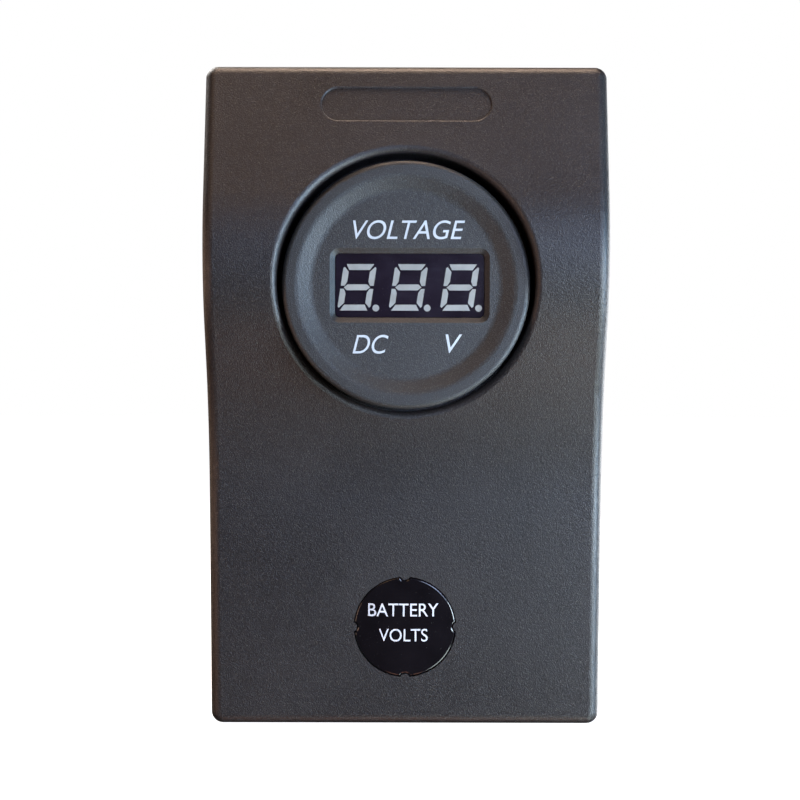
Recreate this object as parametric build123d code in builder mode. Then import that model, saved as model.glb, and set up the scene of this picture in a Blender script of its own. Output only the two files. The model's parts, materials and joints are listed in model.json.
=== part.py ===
from build123d import *
from math import atan2, cos, radians, sin, tan
import os

# A surface-mount DC voltmeter: a moulded wall box whose humped cover holds a round panel meter,
# with a capped screw near the bottom that holds the cover to a base plate on the wall.
#
# Millimetres.  X runs to the right, the front faces -Y, and +Z is up.  The wall is the plane Y = 0
# and the origin is the centre of the box's back.  A depth is a distance in front of the wall, so
# depth d is at Y = -d, and Plane.XZ.offset(d) is the plane there, facing the front.

# ---- Housing ---------------------------------------------------------------------------------
housing_width = 60.0
housing_height = 100.0
wall = 2.2
corner_radius = 1.8
front_edge_radius = 1.6

# The front seen from the side is three straight runs, joined by a convex and a concave arc.
# Each corner of that outline is (height, depth).
top_corner = (housing_height / 2, 43.8)
hump_corner = (20.2, 51.8)
valley_corner = (-3.9, 37.9)
bottom_corner = (-housing_height / 2, 32.0)
hump_radius = 26.0
valley_radius = 51.0

rib_thickness = 1.2
rib_reach = 1.8
rib_front_depth = 29.0
rib_heights = (-24.0, -8.0, 8.0, 24.0)

label_recess_length = 25.2
label_recess_width = 5.2
label_recess_depth = 0.3
label_recess_height = 44.15
label_lip_radius = 0.2

# ---- Meter well ------------------------------------------------------------------------------
meter_height = 17.2
well_lift = 0.4              # of the well's centre above the meter's axis
well_radius = 19.15
well_wall = 2.0
well_floor_depth = 37.6
well_floor_thickness = 2.4
well_rim_radius = 0.9
meter_hole_radius = 14.35

# ---- Meter -----------------------------------------------------------------------------------
gasket_thickness = 0.6
bezel_radius = 18.35
bezel_thickness = 9.4
bezel_face_thickness = 3.0
bezel_edge_radius = 0.7
dish_outer_radius = 16.25
dish_inner_radius = 14.05
dish_drop = 0.9
dish_soften_radius = 1.8
barrel_radius = 14.1
barrel_length = 20.0
barrel_bore_radius = 12.9
thread_pitch = 1.5
thread_depth = 0.35
thread_count = 11

bezel_back_depth = well_floor_depth + gasket_thickness
bezel_front_depth = bezel_back_depth + bezel_thickness
bore_end_depth = bezel_front_depth - bezel_face_thickness
face_depth = bezel_front_depth - dish_drop
barrel_end_depth = bezel_back_depth - barrel_length
floor_back_depth = well_floor_depth - well_floor_thickness

nut_bore_radius = barrel_radius + 0.05
nut_flange_radius = 18.6
nut_flange_thickness = 2.0
nut_body_radius = 16.8
nut_length = 8.0
nut_rib_count = 18
nut_rib_radius = 0.9

# ---- Display ---------------------------------------------------------------------------------
display_width = 22.05
display_height = 9.4
display_depth = 6.0
display_sink = 0.8
display_shift = (0.55, -0.08)
window_clearance = 0.075
window_bevel = 0.75
window_corner_radius = 0.7
display_face_depth = face_depth - display_sink
display_back_depth = display_face_depth - display_depth

digit_pitch = 7.62
digit_shift = (0.35, -0.34)
digit_half_width = 2.45
digit_half_height = 3.45
digit_slant = 8.5
bar_width = 0.88
segment_thickness = 0.5
point_offset = (2.80, -3.06)
point_radius = 0.51

pin_radius = 0.25
pin_hole_radius = 0.32
pin_length = 2.7
pin_pitch = 2.54
pin_row_spacing = 7.62

# ---- Circuit board and rear end ---------------------------------------------------------------
board_radius = 12.6
board_thickness = 1.2
board_back_depth = display_back_depth - board_thickness

rear_cap_thickness = 1.6
rear_plug_length = 2.0
rear_plug_radius = barrel_bore_radius - 0.05
rear_cap_back_depth = barrel_end_depth - rear_cap_thickness

blade_width = 6.3
blade_thickness = 0.8
blade_spacing = 16.4
blade_free_length = 8.0
blade_hole_radius = 0.8
blade_tail_width = 1.5
blade_slot_gap = 0.05
blade_tip_depth = rear_cap_back_depth - blade_free_length
blade_shoulder_depth = barrel_end_depth + rear_plug_length + 1.0
blade_tail_depth = board_back_depth + board_thickness * 0.6

# ---- Cover screw and its cap -------------------------------------------------------------------
screw_height = -34.8
boss_radius = 7.0
boss_back_depth = 10.5
boss_floor_thickness = 2.5
pocket_radius = 5.0
screw_hole_radius = 2.25
screw_radius = 1.95
screw_tip_depth = 4.6
screw_head_radius = 3.6
screw_head_height = 2.4
washer_radius = 4.4
washer_thickness = 0.8
boss_floor_depth = boss_back_depth + boss_floor_thickness
screw_seat_depth = boss_floor_depth + washer_thickness

cap_radius = 7.8
cap_recess_radius = 7.9
cap_recess_depth = 1.4
cap_thickness = 1.75
cap_dome_radius = 67.0
cap_edge_radius = 0.3
cap_notch_radius = 0.85
cap_key_radius = 0.75
cap_notch_centre = cap_recess_radius + 0.25
cap_skirt_radius = 4.3
cap_skirt_wall = 0.9
cap_skirt_length = 2.6

# ---- Mounting base -----------------------------------------------------------------------------
base_gap = 0.25
base_width = housing_width - 2 * (wall + base_gap)
base_height = housing_height - 2 * (wall + base_gap)
base_corner_radius = 0.8
base_thickness = 3.0
lip_height = 3.0
lip_wall = 1.8
post_radius = 6.0
cable_opening_width = 24.0
cable_opening_height = 20.0
cable_opening_corner = 2.0
cable_rim_wall = 1.6
cable_rim_height = 1.5
wall_screw_spacing_x = 40.0
wall_screw_spacing_z = 78.0
wall_screw_hole_radius = 2.25
wall_screw_bore_radius = 4.2
wall_screw_bore_depth = 1.2
core_pocket_depth = 1.2
core_pocket_corner = 1.0
insert_radius = 2.9
insert_bore_radius = 2.0
insert_length = 5.8
insert_groove = 0.3
insert_front_depth = boss_back_depth - 0.1
tip_bore_radius = 2.4


def run_plane(lower, upper, height):
    """The plane on the straight run of the front between two outline corners, at a height on it."""
    rise = upper[0] - lower[0]
    lean = atan2(upper[1] - lower[1], rise)
    depth = lower[1] + (height - lower[0]) * tan(lean)
    return Plane(origin=(0, -depth, height), x_dir=(1, 0, 0), z_dir=(0, -cos(lean), -sin(lean)))


def meter_plane(depth):
    """The plane across the meter's axis at a depth, with its origin on the axis."""
    return Plane(origin=(0, -depth, meter_height), x_dir=(1, 0, 0), z_dir=(0, -1, 0))


def well_plane(depth):
    """The plane across the well's axis at a depth, with its origin on the axis."""
    return Plane(origin=(0, -depth, meter_height + well_lift), x_dir=(1, 0, 0), z_dir=(0, -1, 0))


def screw_plane(depth):
    """The plane across the cover screw's axis at a depth, with its origin on the axis."""
    return Plane(origin=(0, -depth, screw_height), x_dir=(1, 0, 0), z_dir=(0, -1, 0))


def finish_part(part, name):
    """Label a finished piece and write its STEP file."""
    part.label = name
    export_step(part, f"parts/{name}.step")


meter_axis = Axis((0, 0, meter_height), (0, 1, 0))
meter_section_plane = Plane(origin=(0, 0, meter_height), x_dir=(0, 1, 0), z_dir=(1, 0, 0))
cap_plane = run_plane(bottom_corner, valley_corner, screw_height)
label_plane = run_plane(hump_corner, top_corner, label_recess_height)
os.makedirs("parts", exist_ok=True)

# ---- Front housing -----------------------------------------------------------------------------
# The outside shape, seen from the side.
with BuildSketch(Plane.YZ.offset(-housing_width / 2)) as side_outline:
    with BuildLine():
        front_line = FilletPolyline(
            (-top_corner[1], top_corner[0]),
            (-hump_corner[1], hump_corner[0]),
            (-valley_corner[1], valley_corner[0]),
            (-bottom_corner[1], bottom_corner[0]),
            radius=[hump_radius, valley_radius],
        )
        Polyline(front_line @ 1, (0, bottom_corner[0]), (0, top_corner[0]), front_line @ 0)
    make_face()

# The hollow follows it one wall further in, and is open at the back.
with BuildSketch(Plane.YZ.offset(wall - housing_width / 2)) as hollow_outline:
    add(side_outline.sketch_local)
    offset(amount=-wall, kind=Kind.INTERSECTION)
    Rectangle(4 * wall, housing_height - 2 * wall)

with BuildPart() as housing_block:
    extrude(side_outline.sketch, amount=housing_width)
    fillet(housing_block.edges().filter_by(Axis.Y), corner_radius)
    front_edges = housing_block.edges().filter_by(lambda e: e.center().Y < -bottom_corner[1] + 3)
    seams = front_edges.filter_by(Axis.X).filter_by(
        lambda e: abs(e.center().Z) < housing_height / 2 - corner_radius
    )
    fillet([edge for edge in front_edges if edge not in seams], front_edge_radius)

with BuildPart() as well_tube:
    with BuildSketch(well_plane(floor_back_depth)):
        Circle(well_radius + well_wall)
    extrude(amount=hump_corner[1])
    add(housing_block.part, mode=Mode.INTERSECT)

with BuildPart() as screw_boss:
    with BuildSketch(screw_plane(boss_back_depth)):
        Circle(boss_radius)
    extrude(amount=hump_corner[1])
    add(housing_block.part, mode=Mode.INTERSECT)

with BuildPart() as front_housing:
    add(housing_block.part)
    extrude(hollow_outline.sketch, amount=housing_width - 2 * wall, mode=Mode.SUBTRACT)
    for side in (-1, 1):
        for height in rib_heights:
            rib_x = side * (housing_width / 2 - wall - rib_reach / 2)
            rib_length = rib_front_depth - base_thickness - lip_height
            rib_y = -(rib_front_depth + base_thickness + lip_height) / 2
            with Locations((rib_x, rib_y, height)):
                Box(rib_reach, rib_length, rib_thickness)
    add(well_tube.part)
    add(screw_boss.part)
    # The well, its rounded rim and the hole for the meter's barrel.
    with BuildSketch(well_plane(well_floor_depth)):
        Circle(well_radius)
    extrude(amount=hump_corner[1], mode=Mode.SUBTRACT)
    well_wall_faces = front_housing.faces().filter_by(
        lambda f: f.geom_type == GeomType.CYLINDER and abs(f.radius - well_radius) < 0.001
    )
    rim = well_wall_faces.edges().filter_by(lambda e: e.center().Y < -well_floor_depth - 1)
    rim = rim.filter_by(lambda e: e.geom_type != GeomType.LINE)
    fillet(rim, well_rim_radius)
    with BuildSketch(meter_plane(well_floor_depth)):
        Circle(meter_hole_radius)
    extrude(amount=-2 * well_floor_thickness, mode=Mode.SUBTRACT)
    # The screw's pocket and hole, and the keyed recess for its cap.
    with BuildSketch(screw_plane(boss_floor_depth)):
        Circle(pocket_radius)
    extrude(amount=hump_corner[1], mode=Mode.SUBTRACT)
    with BuildSketch(screw_plane(boss_floor_depth)):
        Circle(screw_hole_radius)
    extrude(amount=-2 * boss_floor_thickness, mode=Mode.SUBTRACT)
    with BuildSketch(cap_plane.offset(-cap_recess_depth)):
        Circle(cap_recess_radius)
        with PolarLocations(cap_notch_centre, 4):
            Circle(cap_key_radius, mode=Mode.SUBTRACT)
    extrude(amount=2 * cap_recess_depth, mode=Mode.SUBTRACT)
    # The shallow recess for a label near the top.
    with BuildSketch(label_plane):
        SlotOverall(label_recess_length, label_recess_width)
    extrude(amount=-label_recess_depth, mode=Mode.SUBTRACT)
    label_lip = edges(Select.LAST).filter_by(
        lambda e: abs(label_plane.to_local_coords(e.center()).Z) < 0.01
    )
    fillet(label_lip, label_lip_radius)
finish_part(front_housing.part, "front_housing")

# ---- Mounting base -----------------------------------------------------------------------------
with BuildPart() as mounting_base:
    with BuildSketch(Plane.XZ):
        RectangleRounded(base_width, base_height, base_corner_radius)
    extrude(amount=base_thickness)
    # The upstanding lip that guides the cover's walls.
    with BuildSketch(Plane.XZ.offset(base_thickness)):
        RectangleRounded(base_width, base_height, base_corner_radius)
        Rectangle(base_width - 2 * lip_wall, base_height - 2 * lip_wall, mode=Mode.SUBTRACT)
    extrude(amount=lip_height)
    # The rimmed opening that the supply leads come through, behind the meter's blades.
    with BuildSketch(meter_plane(base_thickness)):
        RectangleRounded(
            cable_opening_width + 2 * cable_rim_wall,
            cable_opening_height + 2 * cable_rim_wall,
            cable_opening_corner + cable_rim_wall,
        )
    extrude(amount=cable_rim_height)
    with BuildSketch(meter_plane(0)):
        RectangleRounded(cable_opening_width, cable_opening_height, cable_opening_corner)
    extrude(amount=base_thickness + cable_rim_height, mode=Mode.SUBTRACT)
    # The post that the cover screw pulls against, with a stepped hole for the insert.
    with BuildSketch(screw_plane(base_thickness)):
        Circle(post_radius)
    extrude(amount=boss_back_depth - base_thickness)
    with BuildSketch(screw_plane(boss_back_depth)):
        Circle(insert_radius)
    extrude(amount=-(boss_back_depth - insert_front_depth + insert_length), mode=Mode.SUBTRACT)
    with BuildSketch(screw_plane(boss_back_depth)):
        Circle(tip_bore_radius)
    extrude(amount=-(boss_back_depth - base_thickness), mode=Mode.SUBTRACT)
    # Four holes for the wall screws, counterbored for their heads.
    with Locations(Plane.XZ.offset(base_thickness)):
        with GridLocations(wall_screw_spacing_x, wall_screw_spacing_z, 2, 2):
            CounterBoreHole(wall_screw_hole_radius, wall_screw_bore_radius, wall_screw_bore_depth)
    # Shallow coring pockets in the back.
    with BuildSketch(Plane.XZ):
        with Locations((-19.5, meter_height), (19.5, meter_height)):
            RectangleRounded(9, 28, core_pocket_corner)
        with Locations((-17.5, -13), (17.5, -13)):
            RectangleRounded(13, 26, core_pocket_corner)
        with Locations((0, -13)):
            RectangleRounded(18, 26, core_pocket_corner)
        with Locations((0, 39)):
            RectangleRounded(24, 9, core_pocket_corner)
    extrude(amount=core_pocket_depth, mode=Mode.SUBTRACT)
finish_part(mounting_base.part, "mounting_base")

with BuildPart() as threaded_insert:
    with BuildSketch(screw_plane(insert_front_depth)):
        Circle(insert_radius)
        Circle(insert_bore_radius, mode=Mode.SUBTRACT)
    extrude(amount=-insert_length)
    with BuildSketch(screw_plane(insert_front_depth - insert_length * 0.35)):
        Circle(insert_radius)
        Circle(insert_radius - insert_groove, mode=Mode.SUBTRACT)
    extrude(amount=-insert_length * 0.3, mode=Mode.SUBTRACT)
finish_part(threaded_insert.part, "threaded_insert")

# ---- Cover screw, washer and cap ---------------------------------------------------------------
with BuildPart() as cover_screw:
    with BuildSketch(screw_plane(screw_tip_depth)):
        Circle(screw_radius)
    extrude(amount=screw_seat_depth - screw_tip_depth)
    chamfer(cover_screw.edges().sort_by(Axis.Y)[-1], 0.5)
    with BuildSketch(screw_plane(screw_seat_depth)):
        Circle(screw_head_radius)
    extrude(amount=screw_head_height)
    fillet(cover_screw.edges().sort_by(Axis.Y)[0], 1.2)
    with BuildSketch(screw_plane(screw_seat_depth + screw_head_height)):
        Rectangle(4.2, 0.9)
        Rectangle(0.9, 4.2)
    extrude(amount=-1.5, mode=Mode.SUBTRACT)
finish_part(cover_screw.part, "cover_screw")

with BuildPart() as screw_washer:
    with BuildSketch(screw_plane(boss_floor_depth)):
        Circle(washer_radius)
        Circle(screw_hole_radius, mode=Mode.SUBTRACT)
    extrude(amount=washer_thickness)
finish_part(screw_washer.part, "screw_washer")

with BuildPart() as screw_cap:
    with BuildSketch(cap_plane.offset(-cap_recess_depth)):
        Circle(cap_radius)
        with PolarLocations(cap_notch_centre, 4):
            Circle(cap_notch_radius, mode=Mode.SUBTRACT)
    extrude(amount=cap_thickness)
    with Locations(cap_plane.offset(cap_thickness - cap_recess_depth - cap_dome_radius)):
        Sphere(cap_dome_radius, rotation=(90, 0, 0), mode=Mode.INTERSECT)
    fillet(faces().filter_by(GeomType.SPHERE)[0].edges(), cap_edge_radius)
    with BuildSketch(cap_plane.offset(-cap_recess_depth)):
        Circle(cap_skirt_radius)
        Circle(cap_skirt_radius - cap_skirt_wall, mode=Mode.SUBTRACT)
        Rectangle(2 * cap_skirt_radius, 1.0, mode=Mode.SUBTRACT)
        Rectangle(1.0, 2 * cap_skirt_radius, mode=Mode.SUBTRACT)
    extrude(amount=-cap_skirt_length)
finish_part(screw_cap.part, "screw_cap")

# ---- Meter body, gasket and nut ----------------------------------------------------------------
with BuildPart() as meter_body:
    # Half of the section: across is the distance from the wall, up is the radius.
    with BuildSketch(meter_section_plane) as meter_section:
        with BuildLine():
            Polyline(
                (-face_depth, 0),
                (-face_depth, dish_inner_radius),
                (-bezel_front_depth, dish_outer_radius),
                (-bezel_front_depth, bezel_radius),
                (-bezel_back_depth, bezel_radius),
                (-bezel_back_depth, barrel_radius),
                (-barrel_end_depth, barrel_radius),
                (-barrel_end_depth, barrel_bore_radius),
                (-bore_end_depth, barrel_bore_radius),
                (-bore_end_depth, 0),
                close=True,
            )
        make_face()
        dish_corners = meter_section.vertices().filter_by(
            lambda v: v.X < -bore_end_depth - 0.1 and dish_inner_radius - 1 < v.Y < bezel_radius - 1
        )
        fillet(dish_corners, dish_soften_radius)
        bezel_corner = meter_section.vertices().filter_by(lambda v: v.Y > bezel_radius - 0.1)
        fillet(bezel_corner.sort_by(Axis.X)[0], bezel_edge_radius)
        # The barrel's thread, as a row of V grooves.
        for turn in range(thread_count):
            groove = -barrel_end_depth - (turn + 0.5) * thread_pitch
            with BuildLine():
                Polyline(
                    (groove - thread_pitch * 0.35, barrel_radius + 0.01),
                    (groove, barrel_radius - thread_depth),
                    (groove + thread_pitch * 0.35, barrel_radius + 0.01),
                    close=True,
                )
            make_face(mode=Mode.SUBTRACT)
    revolve(axis=meter_axis)
    # The window for the display, with a bevelled frame.
    with BuildSketch(meter_plane(bore_end_depth)):
        with Locations(display_shift):
            RectangleRounded(
                display_width + 2 * window_clearance,
                display_height + 2 * window_clearance,
                window_corner_radius,
            )
    extrude(amount=bezel_face_thickness, mode=Mode.SUBTRACT)
    window_edges = meter_body.edges().filter_by(
        lambda e: abs(e.center().Y + face_depth) < 0.01
        and abs(e.center().X) < dish_inner_radius - 1
        and abs(e.center().Z - meter_height) < display_height
    )
    chamfer(window_edges, window_bevel)
finish_part(meter_body.part, "meter_body")

with BuildPart() as meter_gasket:
    with BuildSketch(meter_plane(well_floor_depth)):
        Circle(bezel_radius - 0.5)
        Circle(meter_hole_radius, mode=Mode.SUBTRACT)
    extrude(amount=gasket_thickness)
finish_part(meter_gasket.part, "meter_gasket")

with BuildPart() as ring_nut:
    with BuildSketch(meter_plane(floor_back_depth)):
        Circle(nut_flange_radius)
    extrude(amount=-nut_flange_thickness)
    with BuildSketch(meter_plane(floor_back_depth)):
        Circle(nut_body_radius)
        with PolarLocations(nut_body_radius, nut_rib_count):
            Circle(nut_rib_radius)
    extrude(amount=-nut_length)
    with BuildSketch(meter_plane(floor_back_depth)):
        Circle(nut_bore_radius)
    extrude(amount=-nut_length, mode=Mode.SUBTRACT)
finish_part(ring_nut.part, "ring_nut")


# ---- Display -----------------------------------------------------------------------------------
def slanted(across, up):
    """A point of a digit, leaned over by the digits' slant."""
    return (across + up * tan(radians(digit_slant)), up)


def digit_bars():
    """The outlines of one digit's seven bars, about the digit's centre."""
    w = digit_half_width
    h = digit_half_height
    t = bar_width
    level_bar = [(w - 0.4, h), (w - 0.92, h - t), (0.92 - w, h - t), (0.4 - w, h)]
    upright_bar = [
        (w, 0.22),
        (w - 0.55, 0.22),
        (w - t, 0.85),
        (w - t, h - t - 0.27),
        (w - 0.2, h - 0.42),
        (w, h - 0.62),
    ]
    middle_bar = [
        (w - 0.5, 0),
        (w - 1.0, t / 2),
        (1.0 - w, t / 2),
        (0.5 - w, 0),
        (1.0 - w, -t / 2),
        (w - 1.0, -t / 2),
    ]
    bars = [middle_bar]
    for up in (1, -1):
        bars.append([(x, up * z) for x, z in level_bar])
        for side in (1, -1):
            bars.append([(side * x, up * z) for x, z in upright_bar])
    return bars


with BuildSketch(meter_plane(display_face_depth)) as segment_outlines:
    for digit in (-1, 0, 1):
        centre_x = digit * digit_pitch + digit_shift[0]
        for bar in digit_bars():
            with BuildLine():
                leaned = [slanted(x, z) for x, z in bar]
                Polyline([(centre_x + x, z + digit_shift[1]) for x, z in leaned], close=True)
            make_face()
        with Locations((centre_x + point_offset[0], point_offset[1] + digit_shift[1])):
            Circle(point_radius)

with BuildPart() as led_module:
    with BuildSketch(meter_plane(display_back_depth)):
        with Locations(display_shift):
            RectangleRounded(display_width, display_height, window_corner_radius - window_clearance)
    extrude(amount=display_depth)
    extrude(segment_outlines.sketch, amount=-segment_thickness, mode=Mode.SUBTRACT)
finish_part(led_module.part, "led_module")

with BuildPart() as led_segments:
    extrude(segment_outlines.sketch, amount=-segment_thickness)
finish_part(led_segments.part, "led_segments")

with BuildPart() as display_pins:
    with BuildSketch(meter_plane(display_back_depth)):
        with Locations(display_shift):
            with GridLocations(pin_pitch, pin_row_spacing, 6, 2):
                Circle(pin_radius)
    extrude(amount=-pin_length)
finish_part(display_pins.part, "display_pins")

# ---- Circuit board and its components ----------------------------------------------------------
blade_places = [(-blade_spacing / 2, 0), (blade_spacing / 2, 0)]

with BuildPart() as circuit_board:
    with BuildSketch(meter_plane(display_back_depth)):
        Circle(board_radius)
        with Locations(display_shift):
            with GridLocations(pin_pitch, pin_row_spacing, 6, 2):
                Circle(pin_hole_radius, mode=Mode.SUBTRACT)
        with Locations(*blade_places):
            Rectangle(
                blade_thickness + 2 * blade_slot_gap,
                blade_tail_width + 2 * blade_slot_gap,
                mode=Mode.SUBTRACT,
            )
    extrude(amount=-board_thickness)
finish_part(circuit_board.part, "circuit_board")

chip_length, chip_width, chip_height = 9.0, 3.9, 1.5
lead_width, lead_reach, lead_thickness = 0.42, 0.9, 0.3
with BuildPart() as main_chip:
    with BuildSketch(meter_plane(board_back_depth)):
        Rectangle(chip_length, chip_width)
    extrude(amount=-chip_height)
    chamfer(main_chip.edges().group_by(Axis.Y)[-1], 0.2)
    with BuildSketch(meter_plane(board_back_depth)):
        with GridLocations(1.27, chip_width + lead_reach, 7, 2):
            Rectangle(lead_width, lead_reach)
    extrude(amount=-lead_thickness)
    with BuildSketch(meter_plane(board_back_depth - chip_height)):
        with Locations((chip_width / 2 - chip_length / 2, 1)):
            Circle(0.4)
    extrude(amount=0.1, mode=Mode.SUBTRACT)
finish_part(main_chip.part, "main_chip")

with BuildPart() as voltage_regulator:
    with BuildSketch(meter_plane(board_back_depth)):
        with Locations((-5.2, 7.6)):
            Rectangle(4.5, 2.5)
    extrude(amount=-1.5)
    with BuildSketch(meter_plane(board_back_depth)):
        with Locations((-5.2, 5.95)):
            with GridLocations(1.5, 1, 3, 1):
                Rectangle(0.5, 0.8)
        with Locations((-5.2, 9.1)):
            Rectangle(1.7, 0.5)
    extrude(amount=-0.4)
finish_part(voltage_regulator.part, "voltage_regulator")

with BuildPart() as resistors:
    with BuildSketch(meter_plane(board_back_depth)):
        with Locations((3.2, -8.7), (3.2, -7.2), (-0.2, 6.0), (-0.2, 7.5), (-0.2, 9.0), (6.2, 2.9)):
            Rectangle(1.6, 0.8)
    extrude(amount=-0.45)
finish_part(resistors.part, "resistors")

with BuildPart() as ceramic_capacitors:
    with BuildSketch(meter_plane(board_back_depth)):
        with Locations((6.4, -7.6), (6.4, -5.6), (-8.4, 3.6)):
            Rectangle(2.0, 1.25)
    extrude(amount=-0.9)
finish_part(ceramic_capacitors.part, "ceramic_capacitors")

with BuildPart() as filter_capacitor:
    with BuildSketch(meter_plane(board_back_depth)):
        with Locations((-6.0, -7.6)):
            RectangleRounded(4.3, 4.3, 0.4)
    extrude(amount=-0.8)
    with BuildSketch(meter_plane(board_back_depth - 0.8)):
        with Locations((-6.0, -7.6)):
            Circle(2.0)
    extrude(amount=-4.6)
    fillet(filter_capacitor.edges().group_by(Axis.Y)[-1], 0.3)
finish_part(filter_capacitor.part, "filter_capacitor")

with BuildPart() as protection_diode:
    with BuildSketch(meter_plane(board_back_depth)):
        with Locations((5.2, 7.9)):
            Rectangle(4.3, 2.6)
    extrude(amount=-2.2)
    with BuildSketch(meter_plane(board_back_depth)):
        with Locations((2.7, 7.9), (7.7, 7.9)):
            Rectangle(0.7, 1.5)
    extrude(amount=-0.9)
finish_part(protection_diode.part, "protection_diode")

with BuildPart() as calibration_trimmer:
    with BuildSketch(meter_plane(board_back_depth)):
        with Locations((0, -8.3)):
            Rectangle(3.2, 3.2)
    extrude(amount=-1.2)
    with BuildSketch(meter_plane(board_back_depth - 1.2)):
        with Locations((0, -8.3)):
            Circle(1.2)
            Rectangle(1.8, 0.4, mode=Mode.SUBTRACT)
            Rectangle(0.4, 1.8, mode=Mode.SUBTRACT)
    extrude(amount=-0.5)
finish_part(calibration_trimmer.part, "calibration_trimmer")

# ---- Rear cap and blades -----------------------------------------------------------------------
with BuildPart() as rear_cap:
    with BuildSketch(meter_plane(rear_cap_back_depth)):
        Circle(barrel_radius)
    extrude(amount=rear_cap_thickness)
    fillet(rear_cap.edges().sort_by(Axis.Y)[-1], 0.5)
    with BuildSketch(meter_plane(barrel_end_depth)):
        Circle(rear_plug_radius)
        Circle(rear_plug_radius - 1.2, mode=Mode.SUBTRACT)
    extrude(amount=rear_plug_length)
    # Raised collars round the blades, and the slots they pass through.
    with BuildSketch(meter_plane(barrel_end_depth)):
        with Locations(*blade_places):
            Rectangle(blade_thickness + 1.6, blade_width + 1.6)
    extrude(amount=rear_plug_length)
    with BuildSketch(meter_plane(rear_cap_back_depth)):
        with Locations(*blade_places):
            Rectangle(blade_thickness + 2 * blade_slot_gap, blade_width + 2 * blade_slot_gap)
    extrude(amount=rear_cap_thickness + rear_plug_length, mode=Mode.SUBTRACT)
    # Plus and minus signs moulded beside the blades.
    with BuildSketch(meter_plane(rear_cap_back_depth)):
        with Locations((-4.2, 0), (4.2, 0)):
            Rectangle(2.6, 0.6)
        with Locations((4.2, 0)):
            Rectangle(0.6, 2.6)
    extrude(amount=-0.3)
finish_part(rear_cap.part, "rear_cap")


def blade(x):
    """A push-on blade: a chamfered tab with a locking hole, and a narrow tail to the board."""
    middle = Plane(origin=(x - blade_thickness / 2, 0, meter_height), x_dir=(0, 1, 0), z_dir=(1, 0, 0))
    half = blade_width / 2
    tail = blade_tail_width / 2
    outline = [
        (-blade_tail_depth, tail),
        (-blade_shoulder_depth, tail),
        (-blade_shoulder_depth, half),
        (-blade_tip_depth - 1.0, half),
        (-blade_tip_depth, half - 1.2),
    ]
    with BuildPart() as tab:
        with BuildSketch(middle):
            with BuildLine():
                Polyline(outline + [(y, -z) for y, z in reversed(outline)], close=True)
            make_face()
            with Locations((-blade_tip_depth - 3.2, 0)):
                Circle(blade_hole_radius, mode=Mode.SUBTRACT)
        extrude(amount=blade_thickness)
        long_edges = tab.edges().filter_by(Axis.Y).filter_by(lambda e: abs(e.center().Z - meter_height) > tail)
        chamfer(long_edges, 0.12)
    return tab.part


finish_part(blade(blade_spacing / 2), "positive_blade")
finish_part(blade(-blade_spacing / 2), "negative_blade")
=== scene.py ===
import json
from math import cos, radians, sin, sqrt, tan

import bpy
from mathutils import Matrix, Vector


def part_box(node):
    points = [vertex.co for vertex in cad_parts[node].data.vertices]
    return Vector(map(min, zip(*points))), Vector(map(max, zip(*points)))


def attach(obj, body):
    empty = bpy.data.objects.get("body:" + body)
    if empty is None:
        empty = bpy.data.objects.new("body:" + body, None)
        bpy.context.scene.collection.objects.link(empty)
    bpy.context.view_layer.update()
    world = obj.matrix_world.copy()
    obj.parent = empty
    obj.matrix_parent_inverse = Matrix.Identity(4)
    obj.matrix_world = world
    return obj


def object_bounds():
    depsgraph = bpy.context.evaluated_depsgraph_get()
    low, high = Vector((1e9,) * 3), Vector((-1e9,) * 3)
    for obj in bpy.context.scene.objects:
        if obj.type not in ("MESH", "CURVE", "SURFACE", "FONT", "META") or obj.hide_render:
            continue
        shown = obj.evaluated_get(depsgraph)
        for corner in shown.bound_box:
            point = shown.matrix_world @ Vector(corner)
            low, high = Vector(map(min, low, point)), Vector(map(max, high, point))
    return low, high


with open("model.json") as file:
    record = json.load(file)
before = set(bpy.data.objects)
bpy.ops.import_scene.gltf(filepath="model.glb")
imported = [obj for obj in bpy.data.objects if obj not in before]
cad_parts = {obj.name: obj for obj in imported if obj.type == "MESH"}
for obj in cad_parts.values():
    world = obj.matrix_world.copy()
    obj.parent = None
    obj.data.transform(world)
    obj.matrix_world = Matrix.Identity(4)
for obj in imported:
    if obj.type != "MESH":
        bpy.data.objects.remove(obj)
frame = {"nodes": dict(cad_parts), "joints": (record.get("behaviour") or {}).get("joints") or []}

# The looks of a surface-mount DC voltmeter: materials for the CAD pieces, the printed lettering
# that they carry, and a plain studio.  Metres; the front faces -Y.
MM = 0.001
cad_low, cad_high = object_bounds()
nodes = frame["nodes"]


# ---- Node helpers ------------------------------------------------------------------------------
def add_node(tree, kind, inputs=None, **settings):
    """A shader node with its settings and unlinked input values."""
    node = tree.nodes.new(kind)
    for name, value in settings.items():
        setattr(node, name, value)
    for name, value in (inputs or {}).items():
        node.inputs[name].default_value = value
    return node


def join(tree, source, target):
    tree.links.new(source, target)


def join_or_set(tree, value, target):
    """Link a socket to the target, or set the target to a plain value."""
    if isinstance(value, bpy.types.NodeSocket):
        join(tree, value, target)
    else:
        target.default_value = value


def object_coordinates(tree):
    """Object coordinates in millimetres."""
    coordinates = add_node(tree, "ShaderNodeTexCoord")
    scale = add_node(tree, "ShaderNodeVectorMath", {3: 1 / MM}, operation="SCALE")
    join(tree, coordinates.outputs["Object"], scale.inputs[0])
    return scale.outputs[0]


def stretched(tree, coordinates, scale, rotation=(0, 0, 0)):
    """Coordinates in which a noise is drawn out along the axes whose scale is small."""
    mapping = add_node(tree, "ShaderNodeMapping", {"Scale": scale, "Rotation": rotation})
    join(tree, coordinates, mapping.inputs["Vector"])
    return mapping.outputs["Vector"]


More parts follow.
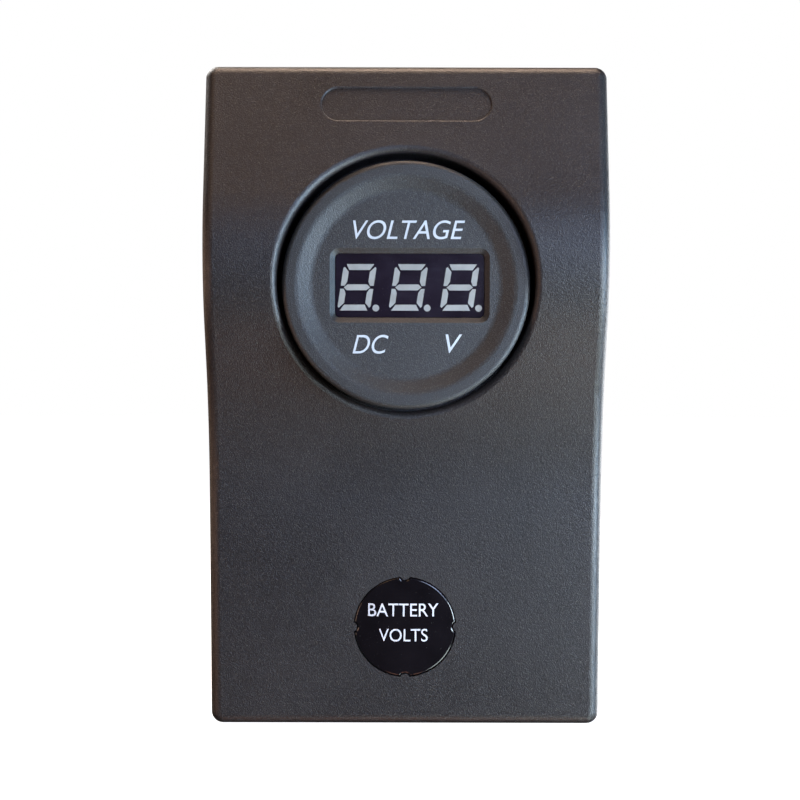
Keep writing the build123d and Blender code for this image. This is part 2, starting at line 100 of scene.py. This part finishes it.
def noise(tree, coordinates, size, detail=2.0, roughness=0.5):
    """Noise with features of about size millimetres, from 0 to 1."""
    inputs = {"Scale": 1 / size, "Detail": detail, "Roughness": roughness}
    node = add_node(tree, "ShaderNodeTexNoise", inputs)
    join(tree, coordinates, node.inputs["Vector"])
    return node.outputs["Fac"]


def spread(tree, value, low, high, least, most):
    """Map the range from low to high to the range from least to most, clamped."""
    inputs = {"From Min": low, "From Max": high, "To Min": least, "To Max": most}
    node = add_node(tree, "ShaderNodeMapRange", inputs)
    join(tree, value, node.inputs["Value"])
    return node.outputs["Result"]


def vary(tree, value, least=0.0, most=1.0):
    """Map the range that most of a noise lies in, from 0.3 to 0.7, to a new one."""
    return spread(tree, value, 0.3, 0.7, least, most)


def specks(tree, value, low, high, amount):
    """0 where a noise is under low, growing to the amount where it is over high."""
    return spread(tree, value, low, high, 0.0, amount)


def arithmetic(tree, operation, first, second):
    node = add_node(tree, "ShaderNodeMath", operation=operation)
    join_or_set(tree, first, node.inputs[0])
    join_or_set(tree, second, node.inputs[1])
    return node.outputs[0]


def shade(colour, factor, lift=0.0):
    """A plain colour made lighter or darker by a factor, then lifted."""
    return [channel * factor + lift for channel in colour]


def blend_colours(tree, factor, first, second):
    """A colour that goes from first to second with the factor."""
    node = add_node(tree, "ShaderNodeMix", data_type="RGBA")
    join(tree, factor, node.inputs["Factor"])
    for value, socket in ((first, node.inputs["A"]), (second, node.inputs["B"])):
        plain = not isinstance(value, bpy.types.NodeSocket)
        join_or_set(tree, (*value, 1.0) if plain else value, socket)
    return node.outputs["Result"]


def patches(tree, value, colour, dark, light):
    """A colour that a noise varies between two factors."""
    return blend_colours(tree, vary(tree, value), shade(colour, dark), shade(colour, light))


def edge_mask(tree, radius):
    """1 on edges sharper than the radius, falling to 0 on flat stretches."""
    flat = 0.99     # the cosine between the true and the rounded normal, on both kinds of place
    sharp = 0.86
    rounded = add_node(tree, "ShaderNodeBevel", {"Radius": radius}, samples=4)
    geometry = add_node(tree, "ShaderNodeNewGeometry")
    dot = add_node(tree, "ShaderNodeVectorMath", operation="DOT_PRODUCT")
    join(tree, rounded.outputs[0], dot.inputs[0])
    join(tree, geometry.outputs["Normal"], dot.inputs[1])
    return spread(tree, dot.outputs["Value"], flat, sharp, 0.0, 1.0)


def new_material(name):
    """A material with its node tree, its shader and its coordinates in millimetres."""
    material = bpy.data.materials.new(name)
    material.use_nodes = True
    tree = material.node_tree
    return material, tree, tree.nodes["Principled BSDF"], object_coordinates(tree)


def surface(tree, shader, tone, shine, heights, depth, strength=1.0):
    """Link a shader's colour, its roughness and its relief, which is depth millimetres deep."""
    relief = add_node(tree, "ShaderNodeBump", {"Distance": depth * MM, "Strength": strength})
    join(tree, heights, relief.inputs["Height"])
    join(tree, tone, shader.inputs["Base Color"])
    join(tree, shine, shader.inputs["Roughness"])
    join(tree, relief.outputs["Normal"], shader.inputs["Normal"])


# ---- Materials ---------------------------------------------------------------------------------
def moulded_plastic(name, colour, roughness, depth=0.07, wear_and_highlight=0.7):
    """Spark-textured black plastic: a fine grain, slow tone changes, and lighter edges that are partly
    rubbed wear and partly a painted highlight.
    """
    grain = 0.17
    wear_and_highlight_radius = 0.5
    dust_colour = (0.088, 0.076, 0.062)
    material, tree, shader, place = new_material(name)
    fine = noise(tree, place, grain)
    coarse = noise(tree, place, grain * 3, detail=1.0)
    dust = noise(tree, place, grain * 0.8, detail=1.0)
    cloud = noise(tree, place, size=22.0, detail=3.0)
    rubbed_and_lit_patches = noise(tree, place, size=3.0, detail=4.0)

    # Lighter edges: partly rubbed wear, partly a painted highlight along every edge, broken up by a noise.
    worn_and_highlit = arithmetic(tree, "MULTIPLY", edge_mask(tree, wear_and_highlight_radius * MM), rubbed_and_lit_patches)
    worn_and_highlit = arithmetic(tree, "MULTIPLY", worn_and_highlit, wear_and_highlight)
    tone = patches(tree, cloud, colour, dark=0.86, light=1.16)
    speck = specks(tree, fine, low=0.52, high=0.70, amount=0.7)
    tone = blend_colours(tree, speck, tone, shade(colour, 3.2, lift=0.013))
    dusty = specks(tree, dust, low=0.64, high=0.76, amount=0.75)
    tone = blend_colours(tree, dusty, tone, dust_colour)
    # Edges lightened towards a paler black: wear together with a painted edge highlight.
    tone = blend_colours(tree, worn_and_highlit, tone, shade(colour, 2.2, lift=0.01))

    shine = spread(tree, cloud, low=0.25, high=0.75, least=roughness - 0.04, most=roughness + 0.05)
    shine = arithmetic(tree, "ADD", shine, vary(tree, fine, least=-0.09, most=0.09))
    polish = arithmetic(tree, "MULTIPLY", worn_and_highlit, 0.12)
    shine = arithmetic(tree, "SUBTRACT", shine, polish)

    coarse_share = 0.35
    heights = arithmetic(tree, "ADD", fine, arithmetic(tree, "MULTIPLY", coarse, coarse_share))
    surface(tree, shader, tone, shine, heights, depth)
    return material


def gloss_plastic(name, colour, roughness, scratch=0.004):
    """Polished plastic with faint wipe marks and specks of dust."""
    dust_colour = (0.09, 0.085, 0.08)
    material, tree, shader, place = new_material(name)
    wiped = stretched(tree, place, scale=(0.25, 1.0, 3.0), rotation=(0, 0.5, 0))
    wipes = noise(tree, wiped, size=0.6, detail=4.0)
    cloud = noise(tree, place, size=5.0, detail=3.0)
    dust = noise(tree, place, size=0.22, detail=1.0)
    tone = patches(tree, cloud, colour, dark=0.8, light=1.3)
    tone = blend_colours(tree, specks(tree, dust, low=0.74, high=0.8, amount=0.3), tone, dust_colour)
    shine = vary(tree, cloud, least=roughness * 0.8, most=roughness * 1.3)
    shine = arithmetic(tree, "ADD", shine, specks(tree, wipes, low=0.5, high=0.8, amount=0.08))
    surface(tree, shader, tone, shine, wipes, scratch)
    return material


def segment_plastic():
    """The milky light pipes of the display, unlit."""
    shadowed = (0.232, 0.236, 0.222)
    milky = (0.29, 0.295, 0.278)
    glow_depth = 0.4 * MM
    material, tree, shader, place = new_material("segment_plastic")
    cloud = noise(tree, place, size=1.6)
    fine = noise(tree, place, size=0.2, detail=3.0)
    tone = blend_colours(tree, vary(tree, cloud), shadowed, milky)
    surface(tree, shader, tone, vary(tree, fine, least=0.32, most=0.5), fine, depth=0.004)
    shader.inputs["Subsurface Weight"].default_value = 0.15
    shader.inputs["Subsurface Radius"].default_value = (glow_depth, glow_depth, glow_depth)
    return material


def plated_metal(name, colour, roughness, tarnish=(0.25, 0.2, 0.12)):
    """Plated or machined metal with brushing, stains and brighter edges."""
    bright_edge = 0.2
    bright = [min(1.0, channel * 1.25) for channel in colour]
    material, tree, shader, place = new_material(name)
    brush = noise(tree, stretched(tree, place, scale=(1.0, 0.12, 1.0)), size=0.12, detail=3.0)
    stain = noise(tree, place, size=2.5, detail=4.0, roughness=0.6)
    stained = specks(tree, stain, low=0.52, high=0.78, amount=0.45)
    tone = blend_colours(tree, stained, colour, tarnish)
    tone = blend_colours(tree, edge_mask(tree, bright_edge * MM), tone, bright)
    shine = vary(tree, stain, least=roughness * 0.8, most=roughness * 1.4)
    shine = arithmetic(tree, "ADD", shine, vary(tree, brush, least=-0.05, most=0.08))
    surface(tree, shader, tone, shine, brush, depth=0.01, strength=0.35)
    shader.inputs["Metallic"].default_value = 1.0
    return material


def rubber(name, colour):
    """Matt rubber with a pale bloom."""
    material, tree, shader, place = new_material(name)
    fine = noise(tree, place, size=0.15, detail=3.0)
    bloom = noise(tree, place, size=4.0, detail=3.0)
    bloomed = specks(tree, bloom, low=0.4, high=0.75, amount=0.6)
    tone = blend_colours(tree, bloomed, colour, shade(colour, 2, lift=0.01))
    surface(tree, shader, tone, vary(tree, fine, least=0.75, most=0.95), fine, depth=0.01)
    return material


def component_plastic(name, colour, roughness):
    """The body of a small electronic component or a board."""
    material, tree, shader, place = new_material(name)
    fine = noise(tree, place, size=0.1, detail=3.0)
    cloud = noise(tree, place, size=1.5)
    tone = patches(tree, cloud, colour, dark=0.8, light=1.2)
    shine = vary(tree, fine, least=roughness - 0.06, most=roughness + 0.08)
    surface(tree, shader, tone, shine, fine, depth=0.006)
    return material


def print_ink(name, colour):
    """Pad-printed ink, a little uneven and thin in places."""
    material, tree, shader, place = new_material(name)
    fine = noise(tree, place, size=0.12, detail=3.0)
    cloud = noise(tree, place, size=2.0)
    tone = patches(tree, cloud, colour, dark=0.9, light=1.05)
    thin = specks(tree, fine, low=0.58, high=0.75, amount=0.6)
    tone = blend_colours(tree, thin, tone, shade(colour, 0.5))
    surface(tree, shader, tone, vary(tree, fine, least=0.45, most=0.6), fine, depth=0.004)
    return material


def paint_nodes():
    """Give every CAD node its material."""
    housing_black = (0.0092, 0.0073, 0.0075)
    base_black = (0.010, 0.0095, 0.0095)
    meter_black = (0.0145, 0.0145, 0.0145)
    nut_black = (0.012, 0.012, 0.013)
    nut_plastic = moulded_plastic("nut_plastic", nut_black, roughness=0.42, depth=0.02, wear_and_highlight=0.6)
    chip = component_plastic("chip_epoxy", (0.02, 0.02, 0.022), roughness=0.6)
    steel = plated_metal("zinc_plate", (0.62, 0.62, 0.63), roughness=0.3, tarnish=(0.4, 0.38, 0.32))
    tinned = plated_metal("tinned_brass", (0.72, 0.68, 0.55), roughness=0.28, tarnish=(0.5, 0.4, 0.22))
    finishes = {
        "front_housing": moulded_plastic("housing_plastic", housing_black, roughness=0.39),
        "mounting_base": moulded_plastic("base_plastic", base_black, roughness=0.42),
        "meter_body": moulded_plastic("meter_plastic", meter_black, roughness=0.47),
        "ring_nut": nut_plastic,
        "rear_cap": nut_plastic,
        "screw_cap": gloss_plastic("cap_gloss", (0.0045, 0.0035, 0.0045), roughness=0.12),
        "led_module": gloss_plastic("display_block", (0.009, 0.006, 0.011), roughness=0.16, scratch=0.0015),
        "led_segments": segment_plastic(),
        "meter_gasket": rubber("gasket_rubber", (0.012, 0.012, 0.012)),
        "display_pins": plated_metal("tinned_pins", (0.75, 0.75, 0.72), roughness=0.3),
        "circuit_board": component_plastic("solder_mask", (0.012, 0.10, 0.035), roughness=0.35),
        "main_chip": chip,
        "voltage_regulator": chip,
        "protection_diode": chip,
        "resistors": component_plastic("resistor_body", (0.03, 0.03, 0.034), roughness=0.45),
        "ceramic_capacitors": component_plastic("ceramic", (0.36, 0.24, 0.13), roughness=0.5),
        "filter_capacitor": plated_metal("can_aluminium", (0.8, 0.8, 0.81), roughness=0.3),
        "calibration_trimmer": component_plastic("trimmer_blue", (0.03, 0.08, 0.35), roughness=0.4),
        "threaded_insert": plated_metal("insert_brass", (0.72, 0.52, 0.24), roughness=0.3),
        "positive_blade": tinned,
        "negative_blade": tinned,
        "cover_screw": steel,
        "screw_washer": steel,
    }
    for name, material in finishes.items():
        data = nodes[name].data
        data.materials.clear()
        data.materials.append(material)


# ---- Lettering ---------------------------------------------------------------------------------
def middle_and_extent(values):
    return (min(values) + max(values)) / 2, max(values) - min(values)


def lettering(name, words, width, height, slant, weight, place, ink, body):
    """Raised print fitted to a width and a height, leaned by slant, its strokes fattened by weight."""
    extrusion = 0.004           # to each side of the letters' plane, in units of their font
    ink_scale = 4 * MM          # what one such unit becomes across the ink
    curve = bpy.data.curves.new(name, "FONT")
    curve.body = words
    curve.size = 1.0
    curve.align_x = "CENTER"
    curve.offset = weight
    curve.extrude = extrusion
    source = bpy.data.objects.new(name + "_source", curve)
    bpy.context.scene.collection.objects.link(source)
    bpy.context.view_layer.update()
    mesh = bpy.data.meshes.new_from_object(source.evaluated_get(bpy.context.evaluated_depsgraph_get()))
    bpy.data.objects.remove(source)
    middle_x, extent_x = middle_and_extent([vertex.co.x for vertex in mesh.vertices])
    middle_y, extent_y = middle_and_extent([vertex.co.y for vertex in mesh.vertices])
    for vertex in mesh.vertices:
        x = (vertex.co.x - middle_x) * width / extent_x
        y = (vertex.co.y - middle_y) * height / extent_y
        vertex.co = (x + y * tan(radians(slant)), y, vertex.co.z * ink_scale)
    mesh.transform(place)
    piece = bpy.data.objects.new(name, mesh)
    bpy.context.scene.collection.objects.link(piece)
    mesh.materials.append(ink)
    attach(piece, body)
    return piece


def text_plane(centre, up, facing):
    """The matrix of a plane that faces one way, with the top of its text towards up."""
    across = up.cross(facing)
    return Matrix.Translation(centre) @ Matrix((across, up, facing)).transposed().to_4x4()


def bend_to_dome(mesh, apex, axis, radius):
    """Lay a flat mesh, which touches a dome's top, down onto the dome."""
    for vertex in mesh.vertices:
        along = (vertex.co - apex).dot(axis)
        from_axis = (vertex.co - apex - along * axis).length
        vertex.co -= axis * (radius - sqrt(radius ** 2 - from_axis ** 2))


def label_meter(print_lift):
    """The meter's face: its unit labels, in plain slanted capitals."""
    ink = print_ink("face_ink", (0.46, 0.50, 0.54))
    dish_drop = 0.9 * MM        # from the bezel's front to the face
    slant = 14
    weight = -0.002
    low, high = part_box("meter_body")
    middle_x = (low.x + high.x) / 2
    middle_z = (low.z + high.z) / 2
    depth = -low.y - dish_drop + print_lift
    # Widths, heights and the way from the meter's middle, in millimetres.
    for name, words, width, height, right, up in (
        ("label_voltage", "VOLTAGE", 16.6, 2.8, 0.1, 8.15),
        ("label_dc", "DC", 4.7, 2.8, -5.2, -8.8),
        ("label_v", "V", 2.45, 2.75, 6.75, -8.7),
    ):
        centre = Vector((middle_x + right * MM, -depth, middle_z + up * MM))
        place = text_plane(centre, Vector((0, 0, 1)), Vector((0, -1, 0)))
        lettering(name, words, width * MM, height * MM, slant, weight, place, ink, "cover")


def label_cap(print_lift):
    """The screw cap's domed face: two lines of generic words, wrapped onto the dome."""
    ink = print_ink("cap_ink", (0.56, 0.55, 0.58))
    dome_radius = 67.0 * MM
    words_left = 0.27 * MM      # of the cap's middle
    slant = 0
    weight = 0.0
    axis = Vector(next(joint["axis"] for joint in frame["joints"] if joint["name"] == "cap_pull"))
    axis.normalize()
    cap_up = axis.cross(Vector((1, 0, 0)))
    points = [vertex.co for vertex in nodes["screw_cap"].data.vertices]
    middle_up, _ = middle_and_extent([point.dot(cap_up) for point in points])
    top = max(point.dot(axis) for point in points) + print_lift
    apex = axis * top + cap_up * middle_up
    # Widths, heights and the way up from the cap's middle, in millimetres.
    for name, words, width, height, up in (
        ("label_battery", "BATTERY", 10.8, 2.0, 2.75),
        ("label_volts", "VOLTS", 7.5, 2.0, -1.2),
    ):
        centre = apex + Vector((-words_left, 0, 0)) + cap_up * up * MM
        place = text_plane(centre, cap_up, axis)
        piece = lettering(name, words, width * MM, height * MM, slant, weight, place, ink, "cap")
        bend_to_dome(piece.data, apex, axis, dome_radius)


# ---- Studio ------------------------------------------------------------------------------------
def soft_light(name, azimuth, elevation, distance, size, power, colour):
    """A square light seen from the object's front at two angles, turned towards the object."""
    aim = Vector((0, -40 * MM, 0))      # inside the hump, at half of the object's height
    level = distance * cos(radians(elevation))
    data = bpy.data.lights.new(name, "AREA")
    data.size = size
    data.energy = power
    data.color = colour
    lamp = bpy.data.objects.new(name, data)
    bpy.context.scene.collection.objects.link(lamp)
    lamp.location = aim + Vector(
        (
            level * sin(radians(azimuth)),
            -level * cos(radians(azimuth)),
            distance * sin(radians(elevation)),
        )
    )
    lamp.rotation_euler = (aim - lamp.location).to_track_quat("-Z", "Y").to_euler()
    lamp.visible_camera = False


def studio_lights():
    """Cool light on the right, warm light above and on the left, a weak fill, a rim and two behind."""
    # Angles in degrees, distances and sizes in metres, power in watts.
    for name, azimuth, elevation, distance, size, power, colour in (
        ("right", 58, -12, 0.20, 0.08, 0.68, (0.82, 0.94, 1.0)),
        ("low_right", 54, -52, 0.35, 0.14, 0.68, (0.86, 1.0, 1.0)),
        ("far_right", 66, -4, 0.35, 0.14, 0.85, (0.12, 0.50, 1.0)),
        ("front_right", 26, 7, 0.35, 0.14, 0.95, (0.53, 0.66, 0.97)),
        ("overhead", 0, 88, 0.35, 0.14, 1.44, (0.98, 0.73, 0.56)),
        ("left", -60, -10, 0.35, 0.14, 0.36, (1.0, 0.62, 0.46)),
        ("upper_left", -30, 38, 0.35, 0.14, 0.20, (1.0, 0.60, 0.30)),
        ("fill_below", 0, -70, 0.35, 0.14, 0.16, (1.0, 0.45, 0.30)),
        ("left_rim", -112, 0, 0.35, 0.14, 0.2, (1.0, 0.66, 0.48)),
        ("back_left", -140, 40, 0.65, 0.35, 4.0, (1.0, 0.97, 0.93)),
        ("back_right", 130, -5, 0.60, 0.35, 3.0, (0.9, 0.95, 1.0)),
    ):
        soft_light(name, azimuth, elevation, distance, size, power, colour)


def pale_floor():
    """A self-lit white sheet, as on a light table, on which no shadow falls."""
    reach = 6.0
    z = cad_low.z
    corners = [(-reach, -reach, z), (reach, -reach, z), (reach, reach, z), (-reach, reach, z)]
    mesh = bpy.data.meshes.new("floor")
    mesh.from_pydata(corners, [], [(0, 1, 2, 3)])
    floor = bpy.data.objects.new("floor", mesh)
    bpy.context.scene.collection.objects.link(floor)
    material, tree, shader, place = new_material("floor_paper")
    tone = blend_colours(tree, noise(tree, place, size=60.0), (0.50, 0.50, 0.50), (0.54, 0.54, 0.54))
    join(tree, tone, shader.inputs["Base Color"])
    shader.inputs["Roughness"].default_value = 1.0
    shader.inputs["Specular IOR Level"].default_value = 0.0
    shader.inputs["Emission Color"].default_value = (1.0, 1.0, 1.0, 1.0)
    shader.inputs["Emission Strength"].default_value = 1.0
    mesh.materials.append(material)
    floor.visible_diffuse = False
    floor.visible_glossy = False
    floor.visible_shadow = False


def studio_world():
    """A white surround for the camera that sheds only a weak, cool light."""
    world = bpy.data.worlds.new("studio")
    world.use_nodes = True
    tree = world.node_tree
    tree.nodes.clear()
    seen = add_node(tree, "ShaderNodeBackground", {"Color": (1, 1, 1, 1), "Strength": 1.0})
    lit = add_node(tree, "ShaderNodeBackground", {"Color": (0.90, 0.94, 1.0, 1), "Strength": 0.02})
    path = add_node(tree, "ShaderNodeLightPath")
    mix = add_node(tree, "ShaderNodeMixShader")
    output = add_node(tree, "ShaderNodeOutputWorld")
    join(tree, path.outputs["Is Camera Ray"], mix.inputs["Fac"])
    join(tree, lit.outputs[0], mix.inputs[1])
    join(tree, seen.outputs[0], mix.inputs[2])
    join(tree, mix.outputs[0], output.inputs["Surface"])
    bpy.context.scene.world = world


def camera():
    """The camera stands level with the object's middle and is turned by a hair about its view."""
    distance = 0.360            # from the wall, in metres
    left = 0.85 * MM            # of the object's middle
    above = 0.16 * MM
    roll = -0.14
    data = bpy.data.cameras.new("camera")
    data.lens = 95.3
    data.sensor_width = 36.0
    data.clip_start = 0.01
    view = bpy.data.objects.new("camera", data)
    bpy.context.scene.collection.objects.link(view)
    middle_z = (cad_low.z + cad_high.z) / 2
    view.location = (-left, -distance, middle_z + above)
    view.rotation_euler = (radians(90), radians(roll), 0)
    bpy.context.scene.camera = view


# ---- Put it together ---------------------------------------------------------------------------
bpy.context.scene.view_settings.view_transform = "Standard"
print_lift = 0.01 * MM          # of the ink's middle over the face that it is printed on
paint_nodes()
label_meter(print_lift)
label_cap(print_lift)
pale_floor()
studio_world()
studio_lights()
camera()
